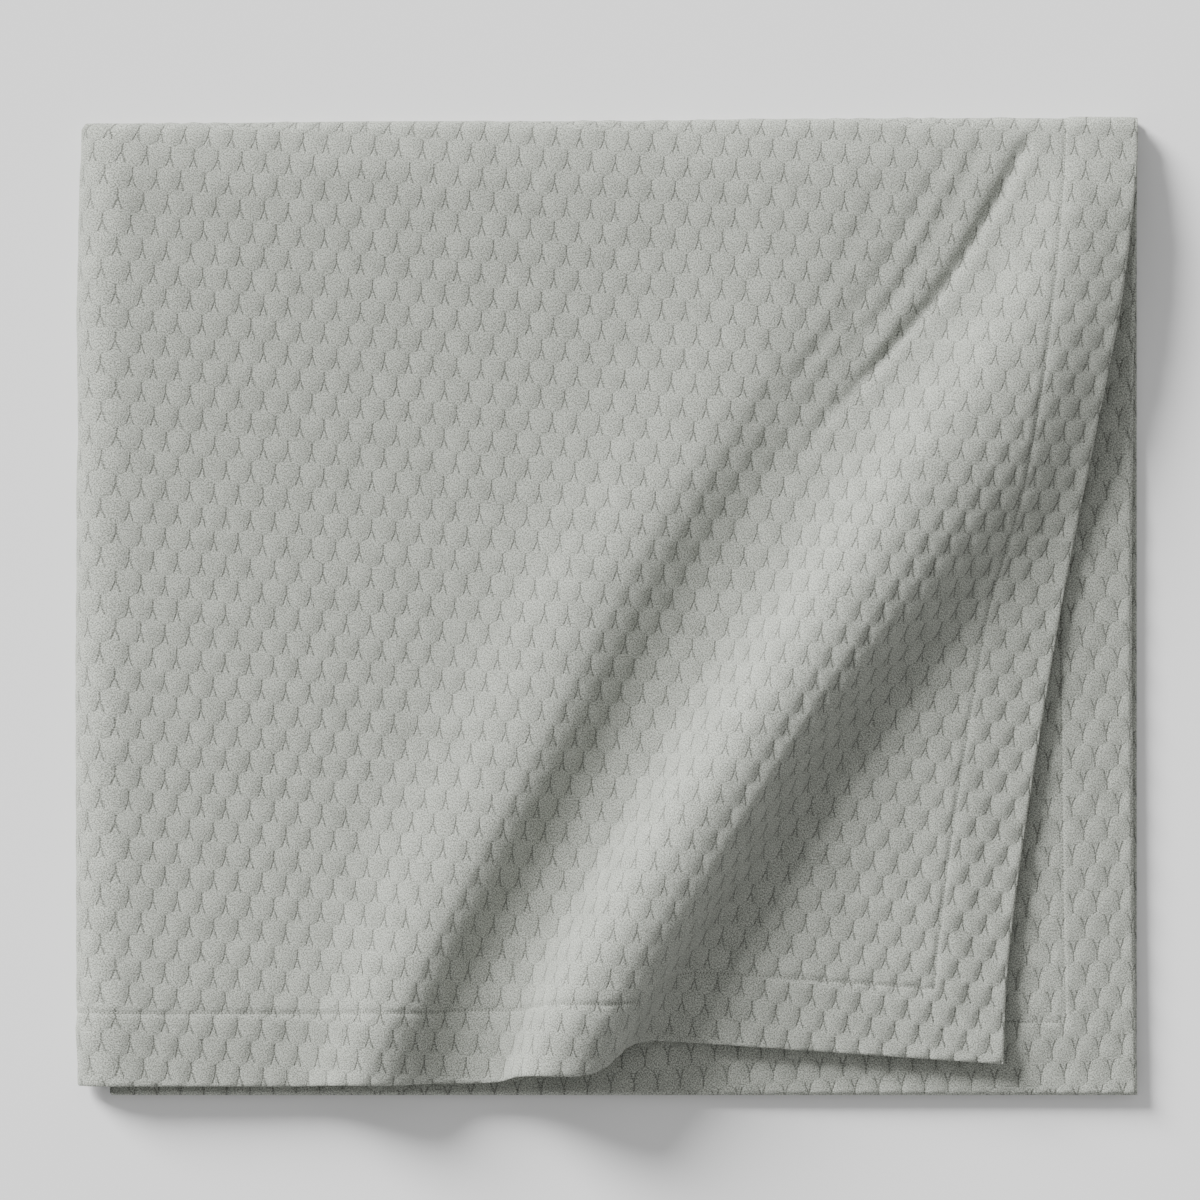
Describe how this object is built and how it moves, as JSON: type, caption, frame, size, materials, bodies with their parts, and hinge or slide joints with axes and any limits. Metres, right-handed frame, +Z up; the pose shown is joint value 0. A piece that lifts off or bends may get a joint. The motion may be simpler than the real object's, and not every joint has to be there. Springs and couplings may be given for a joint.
{
  "type": "folded quilted coverlet",
  "caption": "Quilted bed coverlet folded in four and laid flat, with hemmed free edges and its loose front corner drawn aside into soft diagonal folds.",
  "frame": {"origin": "middle of the base of the folded coverlet's bounding box, on the surface that it lies on", "axes": "+X from the folded left edge to the hemmed right edge, +Y from the hemmed bottom edge to the folded top edge, +Z up"},
  "size_m": [1.1452, 1.0538, 0.0997],
  "materials": {
    "woven_cotton": "matt heathered cotton with small quilted scales"
  },
  "bodies": {
    "root": {"coverlet": "woven_cotton"}
  },
  "joints": []
}
